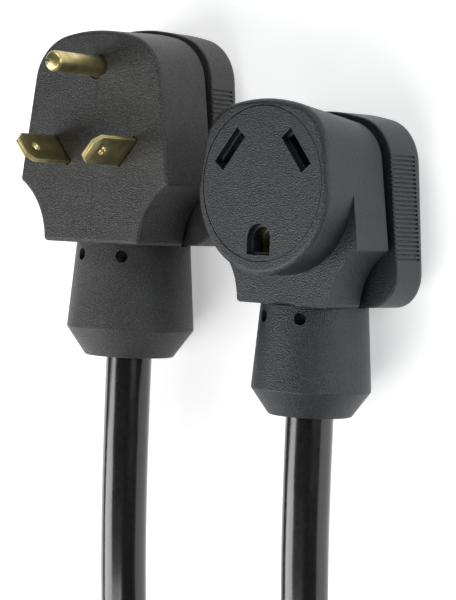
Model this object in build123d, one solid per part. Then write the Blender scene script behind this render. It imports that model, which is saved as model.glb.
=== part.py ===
from build123d import *
import os
from math import atan, cos, degrees, pi, radians, sin, tan

# Right-angle dogbone adapter lying on its back: a blade plug and a socket connector on one thick
# cord. Millimetres. +Z is up out of both faces, +Y is away from the cord, Z = 0 is the surface.
# A head's own origin is the middle of its blade pattern, straight above the line it rests on.

# Blade pattern, the same in both heads and turned half round in the connector
PIN_OFFSET = 18.2       # ground pin from the pattern's middle
PIN_R = 3.57
BLADE_X = 14.4          # blade's middle from the centre line
BLADE_DROP = 29.3       # blades from the ground pin
BLADE_WIDTH = 11.4
BLADE_THICK = 1.8
BLADE_ANGLE = 51.0      # blade against the X axis
BLADE_OUT = 22.0        # standing out of the face
BLADE_TIP_WIDTH = 6.4
BLADE_TIP_LENGTH = 3.4
BLADE_HOLE_R = 1.7
BLADE_HOLE_OUT = 15.0
PIN_OUT = 25.5
PIN_ROOT_R = 3.0         # inside the plug
POCKET_DEPTH = 0.6       # shallow recess in the face round the pin and each blade
PIN_POCKET_R = 4.5
BLADE_POCKET_GAP = 0.45
PIN_TIP_R = 2.86

# Head outline, right half from the top: dome and shoulder arcs, straight side, then the arc into
# the neck, each arc by its start, a point on it and its end
OUTLINE = [
    (0, 29.6),
    (14.3, 27.9),
    (23.3, 22.6),
    (27.6, 13.4),
    (32.5, -21.3),
    (24.1, -30.0),
    (21.0, -41.7),
]
BOSS_SIDE = (29.8, -2.0)        # where the connector's round boss leaves the outline
BOSS_LOW = -31.4
# Grip plate and the core inside the groove, right half, as corners with a radius at each
GRIP_OUTLINE = [((0, 33.4), 57), ((28.2, 27.2), 18), ((36.0, -41.4), 12)]
CORE_OUTLINE = [((0, 25), 40), ((20.5, 19.5), 9), ((26, -21), 2), ((15, -28), 9), ((15, -41.7), 0.5)]
HEAD_SCALE = {"plug": (1.0, 1.04), "connector": (0.96, 0.96)}     # outline's width and height

# Heights above the surface
GRIP_TOP = 21.0
BODY_BACK = 24.0        # the groove between body and grip is 3 mm wide
PLUG_FACE = 49.0
SHOULDER = 40.3         # connector's lower body, below its round boss
CONNECTOR_FACE = 53.5
EDGE_R = 1.5
BOSS_EDGE_R = 2.0
BACK_GROWTH = 1.0       # draft: the plug body's back stands out further all round
BACK_DOME = {"plug": 1.0, "connector": 0.83}      # dome's height behind, against the face's
CROWN_R = 90.0          # the grip's back is slightly rounded from side to side
GRIP_EDGE_R = 4.0
GRIP_FRONT_R = 0.6

# Ribs on the grip's sides
RIB_PITCH = 1.55
RIB_COUNT = 24
RIB_LOW = -24.0
RIB_GAP = 0.75
RIB_DEPTH = 0.55
RIB_BACK = 8.5

# Cord and strain relief
CORD_R = 8.2
COLLAR_Z = 23.0
COLLAR_TOP_R = {"plug": 20.4, "connector": 18.4}        # where it meets the neck
COLLAR_RIM = {"plug": (22.8, -73.6), "connector": (20.5, -68.8)}        # widest: radius and Y
COLLAR_MOUTH = {"plug": (15.8, -83.5), "connector": (14.2, -77.6)}      # where the cord leaves
COLLAR_EDGE_R = 0.9
DIMPLE_R = 2.1
DIMPLE_DEPTH = 3.5
DIMPLE_ANGLE = 25.0
DIMPLE_DROP = 4.2       # below the neck
JACKET_END = -50.0
WIRE_R = 2.6
COPPER_R = 1.6
BARREL_R = 2.9
BARREL_LENGTH = 10.0
WIRE_Z = 27.2
WIRE_X = 12.4           # hot and neutral crimp barrels from the centre line
WIRE_SPREAD = 3.5       # wires from the cord's axis where the jacket ends

# Boss and socket face
DISC_R = 25.9
DISC_BACK = 46.5
CONTACT_CARRIER_R = 22.6
SLOT_LENGTH = 12.6
SLOT_WIDTH = 2.9
MOUTH_GROW = 1.0
MOUTH_DEPTH = 2.2
HOLE_R = 4.0
HOLE_FLAT = 4.4         # flat side of the ground hole, below its round part

# Blade carrier in the plug
BLADE_CARRIER_R = 23.5
CARRIER_BACK = 31.0
CARRIER_THICK = 8.0
PEG_R = 9.6
PEG_Y = -1.7
PEG_SUNK = 0.3

# Where the heads lie, and how far the connector has rolled on its rounded back
PLUG_AT = (-39.02, 32.4)
CONNECTOR_AT = (29.48, 11.94)
CONNECTOR_ROLL = -8.0

# Cord: straight out of each collar, down to the surface, then round one open loop
PLUG_STRAIGHT = 84.0
CONNECTOR_STRAIGHT = 72.0
CORD_POINTS = [
    (-39.5, -199, 8.4), (-92.5, -251, 8.3), (-93.5, -325, 8.3), (-39.5, -378, 8.3),
    (37.5, -380, 8.3), (92, -329, 8.3), (93, -257, 8.3), (39.5, -206, 8.4),
]


def place(shape, head):
    """Put a head's piece where that head lies."""
    if head == "plug":
        return Pos(PLUG_AT[0], PLUG_AT[1], 0) * shape
    roll = Pos(0, 0, CROWN_R) * Rot(0, CONNECTOR_ROLL, 0) * Pos(0, 0, -CROWN_R)
    return Pos(CONNECTOR_AT[0], CONNECTOR_AT[1], 0) * roll * shape


def lowered(y, dome):
    """A height in the outline, with those above the middle scaled down to dome."""
    return y * dome if y > 0 else y


def head_outline(head, growth=0.0, dome=1.0):
    """The head's outline as a face."""
    wide, high = HEAD_SCALE[head]
    grown = [(x + growth * (x > 0), y + growth * (y > 0)) for x, y in OUTLINE]
    right = [(x * wide, lowered(y, dome) * high) for x, y in grown]
    left = [(-x, y) for x, y in right]
    edges = [
        ThreePointArc(left[1], right[0], right[1]),
        ThreePointArc(right[1], right[2], right[3]),
        ThreePointArc(left[3], left[2], left[1]),
        Line(right[3], right[4]),
        ThreePointArc(right[4], right[5], right[6]),
        Line(right[6], left[6]),
        ThreePointArc(left[6], left[5], left[4]),
        Line(left[4], left[3]),
    ]
    return make_face(edges)


def rounded_outline(half, head):
    """A face from the corners of its right half, mirrored."""
    wide, high = HEAD_SCALE[head]
    left = [((-x, y), r) for (x, y), r in reversed(half) if x > 0]
    corners = half + left
    points = [(x * wide, lowered(y, BACK_DOME[head]) * high) for (x, y), _ in corners]
    radii = [r * wide for _, r in corners]
    return make_face(FilletPolyline(*points, radius=radii, close=True))


def ground_y(head):
    return PIN_OFFSET if head == "plug" else -PIN_OFFSET


def blade_y(head):
    return PIN_OFFSET - BLADE_DROP if head == "plug" else BLADE_DROP - PIN_OFFSET


def blade_place(side, head, z):
    """A blade's middle; X runs along its width."""
    turn = BLADE_ANGLE if head == "plug" else -BLADE_ANGLE
    return Pos(side * BLADE_X, blade_y(head), z) * Rot(0, 0, side * turn)


def neck_corners(body):
    """The upright edges beside the neck."""
    near_neck = [edge for edge in body.edges() if edge.center().Y < -15]
    return [edge for edge in near_neck if edge.bounding_box().size.Z > 10]


def plug_body():
    back = Pos(0, 0, BODY_BACK) * head_outline("plug", growth=BACK_GROWTH)
    body = loft([back, Pos(0, 0, PLUG_FACE) * head_outline("plug")], ruled=True)
    front = body.faces().sort_by(Axis.Z)[-1].edges()
    return fillet([*front, *neck_corners(body)], EDGE_R)


def below_boss():
    """What is cut away in front of the shoulder, all round the lower side of the boss."""
    wide, high = HEAD_SCALE["connector"]
    side_x, side_y, low = BOSS_SIDE[0] * wide, BOSS_SIDE[1] * high, BOSS_LOW * high
    beyond = 60
    round_side = ThreePointArc((-side_x, side_y), (0, low), (side_x, side_y))
    rest = Polyline((side_x, side_y), (beyond, side_y), (beyond, -beyond), (-beyond, -beyond),
                    (-beyond, side_y), (-side_x, side_y))
    return extrude(Pos(0, 0, SHOULDER) * make_face([round_side, *rest.edges()]), amount=beyond)


def connector_body():
    back = Pos(0, 0, BODY_BACK) * head_outline("connector", dome=BACK_DOME["connector"])
    face = Pos(0, 0, CONNECTOR_FACE) * head_outline("connector")
    body = loft([back, face], ruled=True) - below_boss()
    body = fillet(neck_corners(body), EDGE_R)
    return fillet(body.faces().sort_by(Axis.Z)[-1].edges(), BOSS_EDGE_R)


def rear_grip(head):
    """Ribbed plate with a rounded back, and the core that carries the body in front of it."""
    plate = extrude(rounded_outline(GRIP_OUTLINE, head), amount=GRIP_TOP)
    plate &= Pos(0, 0, CROWN_R) * Rot(90, 0, 0) * Cylinder(CROWN_R, 120)
    low_edges = [edge for edge in plate.edges() if edge.bounding_box().max.Z < GRIP_TOP / 2]
    plate = fillet(low_edges, GRIP_EDGE_R)
    plate = fillet(plate.faces().sort_by(Axis.Z)[-1].edges(), GRIP_FRONT_R)
    core = Pos(0, 0, GRIP_TOP - 1) * rounded_outline(CORE_OUTLINE, head)
    return plate - rib_gaps(head) + extrude(core, amount=BODY_BACK - GRIP_TOP + 1)


def rib_gaps(head):
    """The grooves between the ribs on both slanted sides of the grip."""
    wide, high = HEAD_SCALE[head]
    side_x, side_y = GRIP_OUTLINE[1][0]
    side_y = lowered(side_y, BACK_DOME[head])
    corner_x, corner_y = GRIP_OUTLINE[2][0]
    lean = (corner_x - side_x) * wide / ((side_y - corner_y) * high)
    length = GRIP_TOP + 1 - RIB_BACK
    gaps = []
    for number in range(RIB_COUNT):
        y = (RIB_LOW + number * RIB_PITCH) * high
        wall = side_x * wide + lean * (side_y * high - y)
        for sign in (-1, 1):
            at = Pos(sign * wall, y, RIB_BACK + length / 2) * Rot(0, 0, sign * degrees(atan(lean)))
            gaps.append(at * Box(2 * RIB_DEPTH, RIB_GAP, length))
    return gaps


def collar(head):
    """Strain relief: a sleeve that widens along the cord, then closes in to it."""
    top_r, top_y = COLLAR_TOP_R[head], OUTLINE[-1][1] * HEAD_SCALE[head][1]
    (rim_r, rim_y), (end_r, end_y) = COLLAR_RIM[head], COLLAR_MOUTH[head]
    points = [(0, top_y), (top_r, top_y), (rim_r, rim_y), (end_r, end_y), (0, end_y)]
    sleeve = revolve(make_face(Polyline(*points, close=True)), Axis.Y)
    rounds = [edge for edge in sleeve.edges().filter_by(GeomType.CIRCLE) if edge.center().Y < top_y - 1]
    sleeve = Pos(0, 0, COLLAR_Z) * fillet(rounds, COLLAR_EDGE_R)
    for sign in (-1, 1):
        turn = Pos(0, top_y - DIMPLE_DROP, COLLAR_Z) * Rot(0, sign * DIMPLE_ANGLE, 0)
        sleeve -= turn * Pos(0, 0, top_r) * Cylinder(DIMPLE_R, 2 * DIMPLE_DEPTH)
    return sleeve


def jacket_end(head):
    mouth_y = COLLAR_MOUTH[head][1]
    middle = Pos(0, (JACKET_END + mouth_y) / 2, COLLAR_Z)
    return middle * Rot(90, 0, 0) * Cylinder(CORD_R, JACKET_END - mouth_y)


def barrel(x, end_y):
    """Crimp barrel lying along Y, its open mouth towards the cord at end_y."""
    at = Pos(x, end_y + BARREL_LENGTH / 2, WIRE_Z) * Rot(90, 0, 0)
    return at * Cylinder(BARREL_R, BARREL_LENGTH)


def barrel_mouth(name, head):
    if name == "ground":
        return 0.0, ground_y(head) - (BARREL_LENGTH + 1.5 if head == "plug" else BARREL_LENGTH + 3.0)
    side = 1 if name == "hot" else -1
    return side * WIRE_X, blade_y(head) - BARREL_LENGTH + (-2.5 if head == "plug" else 0.5)


def strands(name, head):
    x, y = barrel_mouth(name, head)
    return Pos(x, y + 2, WIRE_Z) * Rot(90, 0, 0) * Cylinder(COPPER_R, 10)


def wire(name, head):
    """Insulated conductor from the jacket's end to just short of its crimp barrel."""
    x, mouth_y = barrel_mouth(name, head)
    turn = {"hot": -30, "neutral": 210, "ground": 90}[name]
    start_x = WIRE_SPREAD * cos(radians(turn))
    start_z = COLLAR_Z + WIRE_SPREAD * sin(radians(turn))
    end_y = mouth_y - 3
    first = (start_x, JACKET_END, start_z)
    last = (x, end_y, WIRE_Z)
    if name == "ground":
        bends = [(0, JACKET_END + 4, start_z), (0, JACKET_END + 10, WIRE_Z)]
    else:
        bends = [(start_x, JACKET_END + 5, start_z), (x, -36.5, WIRE_Z)]
    path = FilletPolyline(first, *bends, last, radius=4)
    return sweep(Plane(origin=path @ 0, z_dir=path % 0) * Circle(WIRE_R), path=path)


def plug_blade(side):
    root = PLUG_FACE - WIRE_Z
    tip = BLADE_OUT - BLADE_TIP_LENGTH
    half = BLADE_WIDTH / 2
    shape = [(-half, -root), (half, -root), (half, tip), (BLADE_TIP_WIDTH / 2, BLADE_OUT)]
    shape += [(-BLADE_TIP_WIDTH / 2, BLADE_OUT), (-half, tip)]
    flat = make_face(Polyline(*shape, close=True)) - Pos(0, BLADE_HOLE_OUT) * Circle(BLADE_HOLE_R)
    plate = extrude(Plane.XZ * flat, amount=BLADE_THICK / 2, both=True)
    blade = blade_place(side, "plug", PLUG_FACE) * plate
    return blade + barrel(*barrel_mouth("hot" if side > 0 else "neutral", "plug"))


def ground_pin():
    root_top = PLUG_FACE - POCKET_DEPTH
    length = POCKET_DEPTH + PIN_OUT
    pin = Pos(0, PIN_OFFSET, root_top + length / 2) * Cylinder(PIN_R, length)
    pin = fillet(pin.faces().sort_by(Axis.Z)[-1].edges(), PIN_TIP_R)
    root = Pos(0, PIN_OFFSET, (WIRE_Z + root_top) / 2) * Cylinder(PIN_ROOT_R, root_top - WIRE_Z)
    return pin + root + barrel(*barrel_mouth("ground", "plug"))


def face_pockets():
    """Shallow recesses in the plug's face round the pin and the blades."""
    at_face = PLUG_FACE - POCKET_DEPTH
    pockets = [extrude(Pos(0, PIN_OFFSET, at_face) * Circle(PIN_POCKET_R), amount=POCKET_DEPTH + 1)]
    for side in (-1, 1):
        size = (BLADE_WIDTH + 2 * BLADE_POCKET_GAP, BLADE_THICK + 2 * BLADE_POCKET_GAP)
        outline = blade_place(side, "plug", at_face) * Rectangle(*size)
        pockets.append(extrude(outline, amount=POCKET_DEPTH + 1))
    return pockets


def blade_carrier():
    """Round plate that holds the blades, with a peg that ends just under the face."""
    plate = Pos(0, 0, CARRIER_BACK + CARRIER_THICK / 2) * Cylinder(BLADE_CARRIER_R, CARRIER_THICK)
    peg_height = PLUG_FACE - PEG_SUNK - CARRIER_BACK
    return plate + Pos(0, PEG_Y, CARRIER_BACK + peg_height / 2) * Cylinder(PEG_R, peg_height)


def ground_hole(grow, depth):
    """U-shaped hole: round towards the blades' side, flat towards the cord."""
    radius = HOLE_R + grow
    flat = HOLE_FLAT + grow
    shape = Circle(radius) + Pos(0, -flat / 2) * Rectangle(2 * radius, flat)
    at = Pos(0, ground_y("connector"), CONNECTOR_FACE - depth)
    return extrude(at * shape, amount=depth + 1)


def slot(side, grow, depth):
    shape = Rectangle(SLOT_LENGTH + 2 * grow, SLOT_WIDTH + 2 * grow)
    return extrude(blade_place(side, "connector", CONNECTOR_FACE - depth) * shape, amount=depth + 1)


def socket_face():
    disc = Pos(0, 0, (DISC_BACK + CONNECTOR_FACE) / 2) * Cylinder(DISC_R, CONNECTOR_FACE - DISC_BACK)
    disc = chamfer(disc.faces().sort_by(Axis.Z)[-1].edges(), 0.35)
    through = CONNECTOR_FACE - DISC_BACK + 1
    disc -= [ground_hole(0, through), ground_hole(MOUTH_GROW, MOUTH_DEPTH)]
    for side in (-1, 1):
        disc -= [slot(side, 0, through), slot(side, MOUTH_GROW, MOUTH_DEPTH)]
    return disc


def blade_contact(side):
    """Folded brass clip that a blade slides into, open at the face's side."""
    height = DISC_BACK - WIRE_Z
    at = blade_place(side, "connector", DISC_BACK - height / 2)
    clip = at * Box(BLADE_WIDTH, 5.0, height)
    clip -= at * Pos(0, 0, 3) * Box(BLADE_WIDTH + 2, 2.1, height)
    return clip + barrel(*barrel_mouth("hot" if side > 0 else "neutral", "connector"))


def ground_contact():
    height = DISC_BACK - WIRE_Z
    at = Pos(0, ground_y("connector"), DISC_BACK - height / 2)
    tube = at * Cylinder(5.0, height) - at * Pos(0, 0, 4.5) * Cylinder(PIN_R + 0.1, height)
    return tube + barrel(*barrel_mouth("ground", "connector"))


def contact_carrier():
    middle = Pos(0, 0, (CARRIER_BACK + DISC_BACK) / 2)
    return middle * Cylinder(CONTACT_CARRIER_R, DISC_BACK - CARRIER_BACK)


def connector_air():
    """Space inside the contacts that has to stay open in the pieces round them."""
    depth = CONNECTOR_FACE - CARRIER_BACK + 0.5
    blades = [slot(side, -0.4, depth) for side in (-1, 1)]
    pin_path = Pos(0, ground_y("connector"), 40) * Cylinder(PIN_R + 0.1, 40)
    return blades + [ground_hole(-0.4, depth) & pin_path]


def mouth(head):
    """Where the cord leaves a head's collar."""
    return place(Pos(0, COLLAR_MOUTH[head][1], COLLAR_Z) * Vertex(0, 0, 0), head).center()


def cord():
    start, end = mouth("plug"), mouth("connector")
    points = [start, start - Vector(0, PLUG_STRAIGHT, 0)]
    points += [Vector(*point) for point in CORD_POINTS]
    points += [end - Vector(0, CONNECTOR_STRAIGHT, 0), end]
    runs = [(b - a).length for a, b in zip(points, points[1:])]
    turns = [(b - a).get_angle(c - b) for a, b, c in zip(points, points[1:], points[2:])]
    radii = [0.45 * min(pair) / tan(radians(turn) / 2) for pair, turn in zip(zip(runs, runs[1:]), turns)]
    path = FilletPolyline(*points, radius=radii)
    tube = sweep(Plane(origin=path @ 0, z_dir=path % 0) * Circle(CORD_R), path=path)
    print("cord length", round(path.length, 1), "smallest radius", round(min(radii), 1))
    print("runs", [round(run) for run in runs], "turns", [round(turn) for turn in turns])
    print("volume over section times length", round(tube.volume / (pi * CORD_R**2 * path.length), 4))
    return tube


def inner_pieces(head):
    """The jacket's end, the conductors and their bared strands."""
    pieces = {"jacket_end": jacket_end(head)}
    for name in ("hot", "neutral", "ground"):
        pieces[name + "_wire"] = wire(name, head)
        pieces[name + "_strands"] = strands(name, head)
    return pieces


def plug_pieces():
    inner = inner_pieces("plug")
    strand_list = [inner[name] for name in inner if name.endswith("strands")]
    brass = {"hot_blade": plug_blade(1), "neutral_blade": plug_blade(-1), "ground_pin": ground_pin()}
    brass = {name: piece - strand_list for name, piece in brass.items()}
    carrier = blade_carrier()
    filled = [carrier, *brass.values(), *inner.values()]
    return {
        "body": plug_body() - face_pockets() - filled,
        "rear_grip": rear_grip("plug") - filled,
        "collar": collar("plug") - filled,
        "blade_carrier": carrier - [*brass.values(), *inner.values()],
        **brass,
        **inner,
    }


def connector_pieces():
    inner = inner_pieces("connector")
    strand_list = [inner[name] for name in inner if name.endswith("strands")]
    brass = {
        "hot_contact": blade_contact(1),
        "neutral_contact": blade_contact(-1),
        "ground_contact": ground_contact(),
    }
    brass = {name: piece - strand_list for name, piece in brass.items()}
    disc_space = Pos(0, 0, (DISC_BACK + CONNECTOR_FACE) / 2) * Cylinder(DISC_R, CONNECTOR_FACE - DISC_BACK)
    carrier = contact_carrier()
    filled = [disc_space, carrier, *brass.values(), *inner.values()]
    return {
        "body": connector_body() - filled,
        "face": socket_face(),
        "rear_grip": rear_grip("connector") - filled,
        "collar": collar("connector") - filled,
        "contact_carrier": carrier - [*brass.values(), *inner.values(), *connector_air()],
        **brass,
        **inner,
    }


os.makedirs("parts", exist_ok=True)
for head, pieces in (("plug", plug_pieces()), ("connector", connector_pieces())):
    for name, piece in pieces.items():
        export_step(place(piece, head), f"parts/{head}_{name}.step")
export_step(cord(), "parts/cord.step")
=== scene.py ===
import math

import bmesh
import bpy
from mathutils import Matrix, Vector


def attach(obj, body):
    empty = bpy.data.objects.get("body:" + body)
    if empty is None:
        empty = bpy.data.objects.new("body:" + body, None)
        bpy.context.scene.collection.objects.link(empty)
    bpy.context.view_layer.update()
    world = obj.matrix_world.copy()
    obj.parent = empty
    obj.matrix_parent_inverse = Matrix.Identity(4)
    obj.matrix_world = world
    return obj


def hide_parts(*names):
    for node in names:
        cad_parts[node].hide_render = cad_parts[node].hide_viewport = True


# Looks for a right-angle dogbone adapter lying on its back on a pale table: a blade plug at -X,
# a socket connector at +X and one thick cord that leaves both towards -Y and comes back in a loop.
# Sizes are in millimetres and angles in degrees; both are converted where they are used.
MM = 0.001

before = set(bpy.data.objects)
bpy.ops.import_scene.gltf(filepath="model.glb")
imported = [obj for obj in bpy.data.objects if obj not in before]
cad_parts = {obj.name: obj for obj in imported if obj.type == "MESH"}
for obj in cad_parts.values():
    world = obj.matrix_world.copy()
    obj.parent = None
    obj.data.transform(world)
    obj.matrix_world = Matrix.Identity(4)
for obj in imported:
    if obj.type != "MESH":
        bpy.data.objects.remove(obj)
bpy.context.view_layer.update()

# Plug: the middle of its outline and the height of its face, as in the CAD part
PLUG_X = -39.02
PLUG_AT = Vector((PLUG_X, 32.4, 0))
PLUG_FACE = 49.0

# Ground pin
PIN_OFFSET = 18.2        # from the plug's middle, away from the cord
PIN_R = 3.57
PIN_OUT = 25.5           # how far it stands out of the face
PIN_ROOT_R = 3.0
PIN_LIP = 0.2
PIN_STEPS = 48
POCKET_DEPTH = 0.6       # recess in the face round the pin
TIP_ROUND = 1.5
TIP_ROUND_ANGLE = 80
TIP_CROWN = 0.35
TIP_SLOT_SIZE = Vector((6.0, 0.75, 6.0))
TIP_SLOT_MIDDLE = Vector((-2.4, 0.15, -0.4))     # from the middle of the pin's tip

# Blades, each folded from two leaves
BLADE_X = 14.4
BLADE_DROP = 29.3        # from the pin, towards the cord
BLADE_ANGLE = 51.0
BLADE_WIDTH = 11.4
BLADE_THICK = 1.8
BLADE_BEVEL = 0.22
BLADE_OUT = 22.0         # how far they stand out of the face
BLADE_TIP_WIDTH = 6.4
BLADE_TIP_LENGTH = 3.4
BLADE_HOLE_R = 1.7
BLADE_HOLE_OUT = 15.0

# Crimp barrels, one at the root of each blade and of the pin
ROOT_Z = 27.2            # where the brass meets its crimp barrel
BARREL_OUTER_R = 2.9
BARREL_INNER_R = 1.6
BARREL_LENGTH = 10.0
BARREL_LIP = 0.18
BARREL_X = 12.4
BLADE_BARREL_DROP = 2.5  # the barrel's end, from the blade or the pin, towards the cord
PIN_BARREL_DROP = 1.5

FINE_STEPS = 32          # segments round a barrel and round a blade's hole
SHARP_ANGLE = 35         # edges that turn more than this stay sharp

# Cord
CORD_R = 8.2
CORD_ROUTE = [
    (PLUG_X, -51.1, 23),
    (PLUG_X, -135.1, 23),
    (-39.5, -199, 8.4),
    (-92.5, -251, 8.3),
    (-93.5, -325, 8.3),
    (-39.5, -378, 8.3),
    (37.5, -380, 8.3),
    (92, -329, 8.3),
    (93, -257, 8.3),
    (39.5, -206, 8.4),
    (38.80, -137.66, 23.65),
    (38.80, -65.66, 23.65),
]

# Moulded vinyl's skin
PEBBLE_SIZE = 0.42
PEBBLE_DEPTH = 0.30
MOTTLING_SIZE = 9
MOTTLING_DEPTH = 0.25
MOULD_LINE_WIDTH = 0.25
MOULD_LINE_DEPTH = 0.12

# Camera: a long lens
CAMERA_AT = Vector((431.1, 3.4, 659.3))
CAMERA_TOWARD = Vector((7.5, -28.3, 30.0))
CAMERA_LEAN = 2.57
CAMERA_LENS = 132
CAMERA_SENSOR = 36

FLOOR_HALF = 3.0         # metres
WHITE = (1, 1, 1)


# ---------------------------------------------------------------- materials


class Shader:
    """A Principled material with a few node-building helpers."""

    SOCKETS = {
        "base_color": "Base Color",
        "metallic": "Metallic",
        "roughness": "Roughness",
        "specular": "Specular IOR Level",
        "coat": "Coat Weight",
        "coat_roughness": "Coat Roughness",
        "emission": "Emission Color",
        "emission_strength": "Emission Strength",
        "normal": "Normal",
    }

    def __init__(self, name):
        self.material = bpy.data.materials.new(name)
        self.material.use_nodes = True
        self.tree = self.material.node_tree
        self.principled = self.tree.nodes["Principled BSDF"]
        self.coordinates = self.tree.nodes.new("ShaderNodeTexCoord").outputs["Object"]

    def node(self, kind, values=(), **settings):
        """A new node; a value that is a socket is linked, any other is set."""
        made = self.tree.nodes.new(kind)
        for key, value in settings.items():
            setattr(made, key, value)
        for key, value in dict(values).items():
            if isinstance(value, bpy.types.NodeSocket):
                self.tree.links.new(value, made.inputs[key])
            else:
                made.inputs[key].default_value = value
        return made

    def stretched(self, scale):
        """The object coordinates, scaled differently along each axis."""
        return self.node("ShaderNodeMapping", {"Vector": self.coordinates, "Scale": scale}).outputs[0]

    def noise(self, size, detail=2.0, vector=None):
        """Noise whose features are about size millimetres across."""
        values = {"Vector": vector or self.coordinates, "Scale": 1 / (size * MM), "Detail": detail}
        return self.node("ShaderNodeTexNoise", values).outputs["Fac"]

    def math(self, operation, *values):
        """The result of a math operation on one or two values."""
        return self.node("ShaderNodeMath", dict(enumerate(values)), operation=operation).outputs[0]

    def mix(self, factor, first, second):
        """Two colours mixed; the Mix node's colours are its inputs 6 and 7 and its output 2."""
        values = {0: factor, 6: first, 7: second}
        return self.node("ShaderNodeMix", values, data_type="RGBA").outputs[2]

    def ramp(self, value, low, high):
        """A colour ramp over the value; low and high are (position, colour)."""
        made = self.node("ShaderNodeValToRGB", {"Fac": value})
        for element, (position, colour) in zip(made.color_ramp.elements, (low, high)):
            element.position = position
            element.color = (*colour, 1)
        return made.outputs["Color"]

    def spread(self, value, low, high):
        """The value's range 0..1 turned into low..high."""
        return self.node("ShaderNodeMapRange", {"Value": value, "To Min": low, "To Max": high}).outputs[0]

    def bump(self, height, depth, strength=1.0, under=None):
        """A bump of depth millimetres, on top of an earlier one."""
        values = {"Height": height, "Distance": depth * MM, "Strength": strength}
        if under:
            values["Normal"] = under
        return self.node("ShaderNodeBump", values).outputs["Normal"]

    def set(self, **inputs):
        """Link or set the Principled shader's inputs and return the material."""
        for key, value in inputs.items():
            socket = self.principled.inputs[self.SOCKETS[key]]
            if isinstance(value, bpy.types.NodeSocket):
                self.tree.links.new(value, socket)
            elif isinstance(value, tuple):
                socket.default_value = (*value, 1)
            else:
                socket.default_value = value
        return self.material


def mould_line(shader, at_x):
    """1 on a hairline in the plane X = at_x millimetres, 0 elsewhere."""
    along_x = shader.node("ShaderNodeSeparateXYZ", {"Vector": shader.coordinates}).outputs["X"]
    away = shader.math("ABSOLUTE", shader.math("SUBTRACT", along_x, at_x * MM))
    values = {"Value": away, "From Min": 0.0, "From Max": MOULD_LINE_WIDTH * MM, "To Min": 1.0, "To Max": 0.0}
    return shader.node("ShaderNodeMapRange", values).outputs[0]


def moulded_vinyl(name, dark, light, roughness, line_x=None):
    """Fine-grained moulded vinyl: a pebbled skin with paler specks, and faint broad mottling."""
    shader = Shader(name)
    pebbles = shader.noise(PEBBLE_SIZE, detail=1)
    mottling = shader.noise(MOTTLING_SIZE, detail=3)
    specks = shader.ramp(pebbles, (0.44, dark), (0.66, light))
    broad = shader.ramp(mottling, (0.3, dark), (0.75, light))
    shade = shader.mix(0.25, specks, broad)
    skin = shader.bump(pebbles, PEBBLE_DEPTH, 0.9)
    skin = shader.bump(mottling, MOTTLING_DEPTH, 0.10, under=skin)
    if line_x is not None:
        skin = shader.bump(mould_line(shader, line_x), MOULD_LINE_DEPTH, 0.8, under=skin)
    worn = shader.spread(pebbles, roughness + 0.14, roughness - 0.12)
    return shader.set(base_color=shade, roughness=worn, normal=skin, specular=0.5)


def smooth_vinyl(name, colour, roughness, coat=0.0):
    """Extruded insulation or jacket: smooth, with slow waves along its length."""
    shader = Shader(name)
    waves = shader.noise(24, detail=1)
    scuffs = shader.noise(1.4, detail=4)
    scuffed = tuple(1.25 * part + 0.004 for part in colour)
    tint = shader.ramp(scuffs, (0.35, colour), (0.9, scuffed))
    skin = shader.bump(waves, 1.6, 0.35)
    skin = shader.bump(scuffs, 0.03, 0.3, under=skin)
    worn = shader.spread(scuffs, roughness, roughness + 0.1)
    return shader.set(base_color=tint, roughness=worn, normal=skin, coat=coat, coat_roughness=0.12)


def stamped_brass(name):
    """Dulled brass with drawing lines along Z and brighter and duller patches of tarnish."""
    shader = Shader(name)
    lines = shader.noise(0.5, detail=2, vector=shader.stretched((1, 1, 0.06)))
    tarnish = shader.noise(4.5, detail=4)
    tone = shader.ramp(tarnish, (0.35, (0.40, 0.33, 0.14)), (0.7, (0.68, 0.60, 0.30)))
    shade = shader.mix(shader.spread(lines, 0.0, 0.35), tone, (0.24, 0.19, 0.07, 1))
    worn = shader.spread(tarnish, 0.46, 0.28)
    return shader.set(base_color=shade, metallic=1.0, roughness=worn, normal=shader.bump(lines, 0.04, 0.5))


def stranded_copper(name):
    """Bare copper with fine strand lines along the conductor, which runs along Y."""
    shader = Shader(name)
    lines = shader.noise(0.35, detail=1, vector=shader.stretched((1, 0.05, 1)))
    tone = shader.ramp(lines, (0.3, (0.45, 0.17, 0.09)), (0.7, (0.80, 0.42, 0.27)))
    return shader.set(base_color=tone, metallic=1.0, roughness=0.32, normal=shader.bump(lines, 0.1, 0.8))


plug_vinyl = moulded_vinyl("plug_vinyl", (0.003, 0.003, 0.003), (0.040, 0.040, 0.040), 0.48, PLUG_X)
# The blue tint in the connector's vinyl colours is painted light: it stands in for the cooler light falling
# on that head.
connector_vinyl = moulded_vinyl("connector_vinyl", (0.0015, 0.002, 0.003), (0.016, 0.021, 0.027), 0.40)
SLOT_MATERIALS = {
    "plug_plastic": plug_vinyl,
    "connector_plastic": connector_vinyl,
    "plug_insert": moulded_vinyl("insert_vinyl", (0.003, 0.003, 0.003), (0.018, 0.018, 0.018), 0.5),
    "inner_plastic": moulded_vinyl("carrier_vinyl", (0.12, 0.11, 0.10), (0.20, 0.19, 0.17), 0.5),
    "brass": stamped_brass("brass"),
    "copper": stranded_copper("copper"),
    "cord_jacket": smooth_vinyl("jacket", (0.004, 0.004, 0.0045), 0.16, coat=0.4),
    "hot_insulation": smooth_vinyl("hot_insulation", (0.02, 0.02, 0.02), 0.3),
    "neutral_insulation": smooth_vinyl("neutral_insulation", (0.78, 0.78, 0.76), 0.3),
    "ground_insulation": smooth_vinyl("ground_insulation", (0.04, 0.33, 0.10), 0.3),
}


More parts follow.
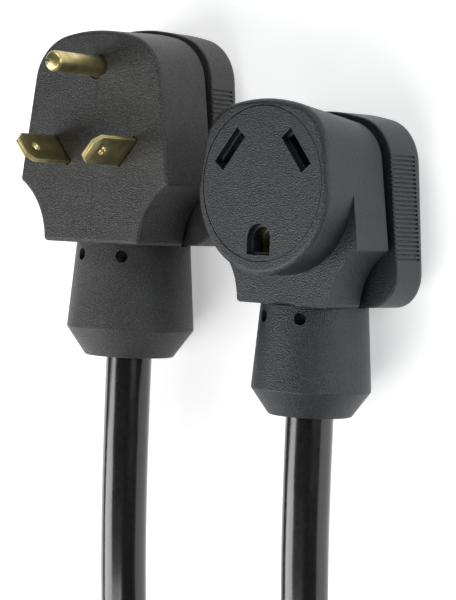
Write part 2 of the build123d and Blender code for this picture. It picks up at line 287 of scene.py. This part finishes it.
def node_slot(name):
    """The record's material slot of a CAD node."""
    if name == "cord" or name.endswith("jacket_end"):
        return "cord_jacket"
    if name == "plug_blade_carrier":
        return "plug_insert"
    if name == "connector_contact_carrier":
        return "inner_plastic"
    if name.endswith("strands"):
        return "copper"
    if name.endswith("wire"):
        return name.split("_")[1] + "_insulation"
    if name.endswith(("blade", "contact", "pin")):
        return "brass"
    return name.split("_")[0] + "_plastic"


for name, cad_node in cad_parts.items():
    for material_slot in cad_node.material_slots:
        material_slot.material = SLOT_MATERIALS[node_slot(name)]


# ---------------------------------------------------------------- pieces


def put_in_scene(name, data):
    """A new object with this data, linked to the scene."""
    made = bpy.data.objects.new(name, data)
    bpy.context.scene.collection.objects.link(made)
    return made


def declare(piece, replaced):
    """Make an object in the row frame a piece that takes a CAD node's place."""
    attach(piece, "root")
    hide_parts(replaced)


def evaluated_mesh(piece):
    """The piece's mesh with its modifiers applied; the piece itself is removed."""
    depsgraph = bpy.context.evaluated_depsgraph_get()
    mesh = bpy.data.meshes.new_from_object(piece.evaluated_get(depsgraph))
    bpy.data.objects.remove(piece)
    return mesh


def around(steps):
    """Points of the unit circle."""
    angles = [2 * math.pi * i / steps for i in range(steps)]
    return [(math.cos(angle), math.sin(angle)) for angle in angles]


def add_brass_piece(shape, mesh, replaced):
    """Put a finished shape into the mesh, and the mesh into the scene as a brass piece."""
    shape.to_mesh(mesh)
    shape.free()
    mesh.shade_smooth()
    mesh.set_sharp_from_angle(angle=math.radians(SHARP_ANGLE))
    mesh.materials.clear()
    mesh.materials.append(SLOT_MATERIALS["brass"])
    declare(put_in_scene(replaced + "_shape", mesh), replaced)


def add_crimp_barrel(shape, barrel_x, end_y):
    """The crimp barrel at a blade's or the pin's root: a lipped tube, open towards the cord."""
    at = (PLUG_AT + Vector((barrel_x, end_y, ROOT_Z))) * MM
    place = Matrix.Translation(at) @ Matrix.Rotation(math.radians(90), 4, "X")
    inner, outer, lip, length = BARREL_INNER_R, BARREL_OUTER_R, BARREL_LIP, BARREL_LENGTH
    profile = [
        (inner, lip),
        (inner + lip, 0),
        (outer - lip, 0),
        (outer, lip),
        (outer, length - lip),
        (outer - lip, length),
        (inner + lip, length),
        (inner, length - lip),
    ]
    rings = []
    for x, y in around(FINE_STEPS):
        ring = [Vector((radius * x, radius * y, height)) * MM for radius, height in profile]
        rings.append([shape.verts.new(place @ point) for point in ring])
    for ring, following in zip(rings, rings[1:] + rings[:1]):
        for i in range(len(profile)):
            j = (i + 1) % len(profile)
            shape.faces.new((ring[i], following[i], following[j], ring[j]))


def blade_leaf():
    """Half of the folded blade: a flat plate with a hole and bevelled edges, thick along local Z."""
    curve = bpy.data.curves.new("leaf", "CURVE")
    curve.dimensions = "2D"
    curve.fill_mode = "BOTH"
    # The curve's bevel grows the outline, so that it starts smaller, and the hole bigger
    half = BLADE_WIDTH / 2 - BLADE_BEVEL
    tip_half = BLADE_TIP_WIDTH / 2 - BLADE_BEVEL / 2
    root = ROOT_Z - PLUG_FACE + BLADE_BEVEL
    shoulder = BLADE_OUT - BLADE_TIP_LENGTH - BLADE_BEVEL / 2
    end = BLADE_OUT - BLADE_BEVEL
    right = [(half, root), (half, shoulder), (tip_half, end)]
    outline = [(-half, root), *right, (-tip_half, end), (-half, shoulder)]
    rim = BLADE_HOLE_R + BLADE_BEVEL
    hole = [(rim * x, BLADE_HOLE_OUT + rim * y) for x, y in around(FINE_STEPS)]
    for points in (outline, hole):
        spline = curve.splines.new("POLY")
        spline.points.add(len(points) - 1)
        for point, (x, y) in zip(spline.points, points):
            point.co = (x * MM, y * MM, 0, 1)
        spline.use_cyclic_u = True
    curve.extrude = (BLADE_THICK / 4 - BLADE_BEVEL) * MM
    curve.bevel_depth = BLADE_BEVEL * MM
    curve.bevel_resolution = 2
    return evaluated_mesh(put_in_scene("leaf", curve))


def plug_blade(side, replaced):
    """Two leaves folded flat on each other, their bevels leaving a fine seam round the edge."""
    leaf = blade_leaf()
    shape = bmesh.new()
    blade_y = PIN_OFFSET - BLADE_DROP
    at = (PLUG_AT + Vector((side * BLADE_X, blade_y, PLUG_FACE))) * MM
    turned = Matrix.Translation(at) @ Matrix.Rotation(math.radians(side * BLADE_ANGLE), 4, "Z")
    upright = Matrix.Rotation(math.radians(90), 4, "X")
    for layer in (-1, 1):
        half = leaf.copy()
        half.transform(turned @ Matrix.Translation((0, layer * BLADE_THICK / 4 * MM, 0)) @ upright)
        shape.from_mesh(half)
        bpy.data.meshes.remove(half)
    bmesh.ops.remove_doubles(shape, verts=shape.verts, dist=1e-6)
    add_crimp_barrel(shape, side * BARREL_X, blade_y - BLADE_BARREL_DROP)
    add_brass_piece(shape, bpy.data.meshes.new(replaced), replaced)


def pin_profile(length):
    """The pin's outline as (radius, height), from its root to its crowned tip."""
    root_top = PLUG_FACE - POCKET_DEPTH - ROOT_Z
    profile = [(0.0, 0.0), (PIN_ROOT_R, 0.0), (PIN_ROOT_R, root_top)]
    profile += [(PIN_R - PIN_LIP, root_top), (PIN_R, root_top + PIN_LIP)]
    for part in range(8):
        angle = math.radians(TIP_ROUND_ANGLE * part / 7)
        radius = PIN_R - TIP_ROUND * (1 - math.cos(angle))
        profile.append((radius, length - TIP_CROWN - TIP_ROUND * (1 - math.sin(angle))))
    edge_r, edge_z = profile[-1]
    for reach in (0.75, 0.5, 0.25, 0.0):
        profile.append((edge_r * reach, length - (length - edge_z) * reach**2))
    return profile


def turned_shape(profile, steps):
    """A closed shape: a profile of (radius, height) turned about Z, with its ends on the axis."""
    shape = bmesh.new()
    rings = []
    for radius, height in profile:
        circle = around(steps) if radius else [(0, 0)]
        rings.append([shape.verts.new(Vector((radius * x, radius * y, height)) * MM) for x, y in circle])
    for low, high in zip(rings, rings[1:]):
        for i in range(steps):
            j = (i + 1) % steps
            corners = [low[i % len(low)], low[j % len(low)], high[j % len(high)], high[i % len(high)]]
            shape.faces.new(list(dict.fromkeys(corners)))
    bmesh.ops.recalc_face_normals(shape, faces=shape.faces)
    return shape


def scene_object(name, shape):
    """The shape as an object in the scene."""
    mesh = bpy.data.meshes.new(name)
    shape.to_mesh(mesh)
    shape.free()
    return put_in_scene(name, mesh)


def ground_pin():
    """Drawn pin with a domed tip and a seam slot across the tip's outer half."""
    length = PLUG_FACE + PIN_OUT - ROOT_Z
    pin = scene_object("pin", turned_shape(pin_profile(length), PIN_STEPS))
    cube = bmesh.new()
    bmesh.ops.create_cube(cube, size=1)
    cutter = scene_object("slot", cube)
    slot_at = (TIP_SLOT_MIDDLE + Vector((0, 0, length))) * MM
    cutter.data.transform(Matrix.Translation(slot_at) @ Matrix.Diagonal((*(TIP_SLOT_SIZE * MM), 1)))
    cut = pin.modifiers.new("slot", "BOOLEAN")
    cut.object = cutter
    cut.operation = "DIFFERENCE"
    cut.solver = "EXACT"
    mesh = evaluated_mesh(pin)
    bpy.data.objects.remove(cutter)
    mesh.transform(Matrix.Translation((PLUG_AT + Vector((0, PIN_OFFSET, ROOT_Z))) * MM))
    shape = bmesh.new()
    shape.from_mesh(mesh)
    add_crimp_barrel(shape, 0, PIN_OFFSET - PIN_BARREL_DROP)
    add_brass_piece(shape, mesh, "plug_ground_pin")


def cord():
    """The thick jacketed cord on one smooth NURBS line."""
    curve = bpy.data.curves.new("cord_line", "CURVE")
    curve.dimensions = "3D"
    spline = curve.splines.new("NURBS")
    spline.points.add(len(CORD_ROUTE) - 1)
    for point, at in zip(spline.points, CORD_ROUTE):
        point.co = (*(Vector(at) * MM), 1)
    spline.order_u = 3
    spline.use_endpoint_u = True
    spline.resolution_u = 24
    curve.bevel_depth = CORD_R * MM
    curve.bevel_resolution = 12
    curve.use_fill_caps = True
    curve.materials.append(SLOT_MATERIALS["cord_jacket"])
    piece = put_in_scene("cord_line", curve)
    declare(piece, "cord")


plug_blade(1, "plug_hot_blade")
plug_blade(-1, "plug_neutral_blade")
ground_pin()
cord()


# ---------------------------------------------------------------- floor, light and camera


def pale_floor():
    """A matt white table top, wide enough to fill the view."""
    mesh = bpy.data.meshes.new("floor")
    corners = [(x * FLOOR_HALF, y * FLOOR_HALF, 0) for x, y in ((-1, -1), (1, -1), (1, 1), (-1, 1))]
    mesh.from_pydata(corners, [], [(0, 1, 2, 3)])
    shader = Shader("floor")
    shader.set(base_color=(0.85, 0.85, 0.85), roughness=0.9, specular=0.1)
    mesh.materials.append(shader.set(emission=WHITE, emission_strength=0.4))
    put_in_scene("floor", mesh)


def softbox(name, at, toward, size, power, colour=WHITE):
    """A rectangular area light; positions and sizes in metres."""
    light = bpy.data.lights.new(name, "AREA")
    light.shape = "RECTANGLE"
    light.size, light.size_y = size
    light.energy = power
    light.color = colour
    lamp = put_in_scene(name, light)
    lamp.location = at
    lamp.rotation_euler = (Vector(toward) - Vector(at)).to_track_quat("-Z", "Y").to_euler()


def studio():
    """Faint white light from all round, and four softboxes."""
    world = bpy.data.worlds.new("studio")
    world.use_nodes = True
    background = world.node_tree.nodes["Background"].inputs
    background["Color"].default_value = (*WHITE, 1)
    background["Strength"].default_value = 0.06
    bpy.context.scene.world = world
    softbox("left", (-0.85, -0.50, 0.72), (-0.04, -0.05, 0.04), (0.8, 0.9), 13)
    softbox("right", (0.95, 0.15, 0.30), (0.05, 0, 0.03), (0.4, 0.9), 6, (0.94, 0.97, 1.0))
    softbox("head_end", (0.1, 1.1, 0.8), (0, 0.1, 0), (1.4, 0.5), 9)
    softbox("cord_end", (0.0, -0.85, 1.15), (0, 0, 0.03), (1.1, 0.6), 11)


def camera():
    """Above the +X side, leaning a little, so that the cord runs down the picture."""
    lean = math.radians(CAMERA_LEAN)
    forward = (CAMERA_TOWARD - CAMERA_AT).normalized()
    level = (Vector((0, 1, 0)) - forward * forward.y).normalized()
    up = level * math.cos(lean) - forward.cross(level) * math.sin(lean)
    right = forward.cross(up)
    data = bpy.data.cameras.new("camera")
    data.lens = CAMERA_LENS
    data.sensor_width = CAMERA_SENSOR
    made = put_in_scene("camera", data)
    facing = Matrix((right, up, -forward)).transposed().to_4x4()
    made.matrix_world = Matrix.Translation(CAMERA_AT * MM) @ facing
    bpy.context.scene.camera = made


pale_floor()
studio()
camera()
bpy.context.scene.view_settings.view_transform = "Standard"
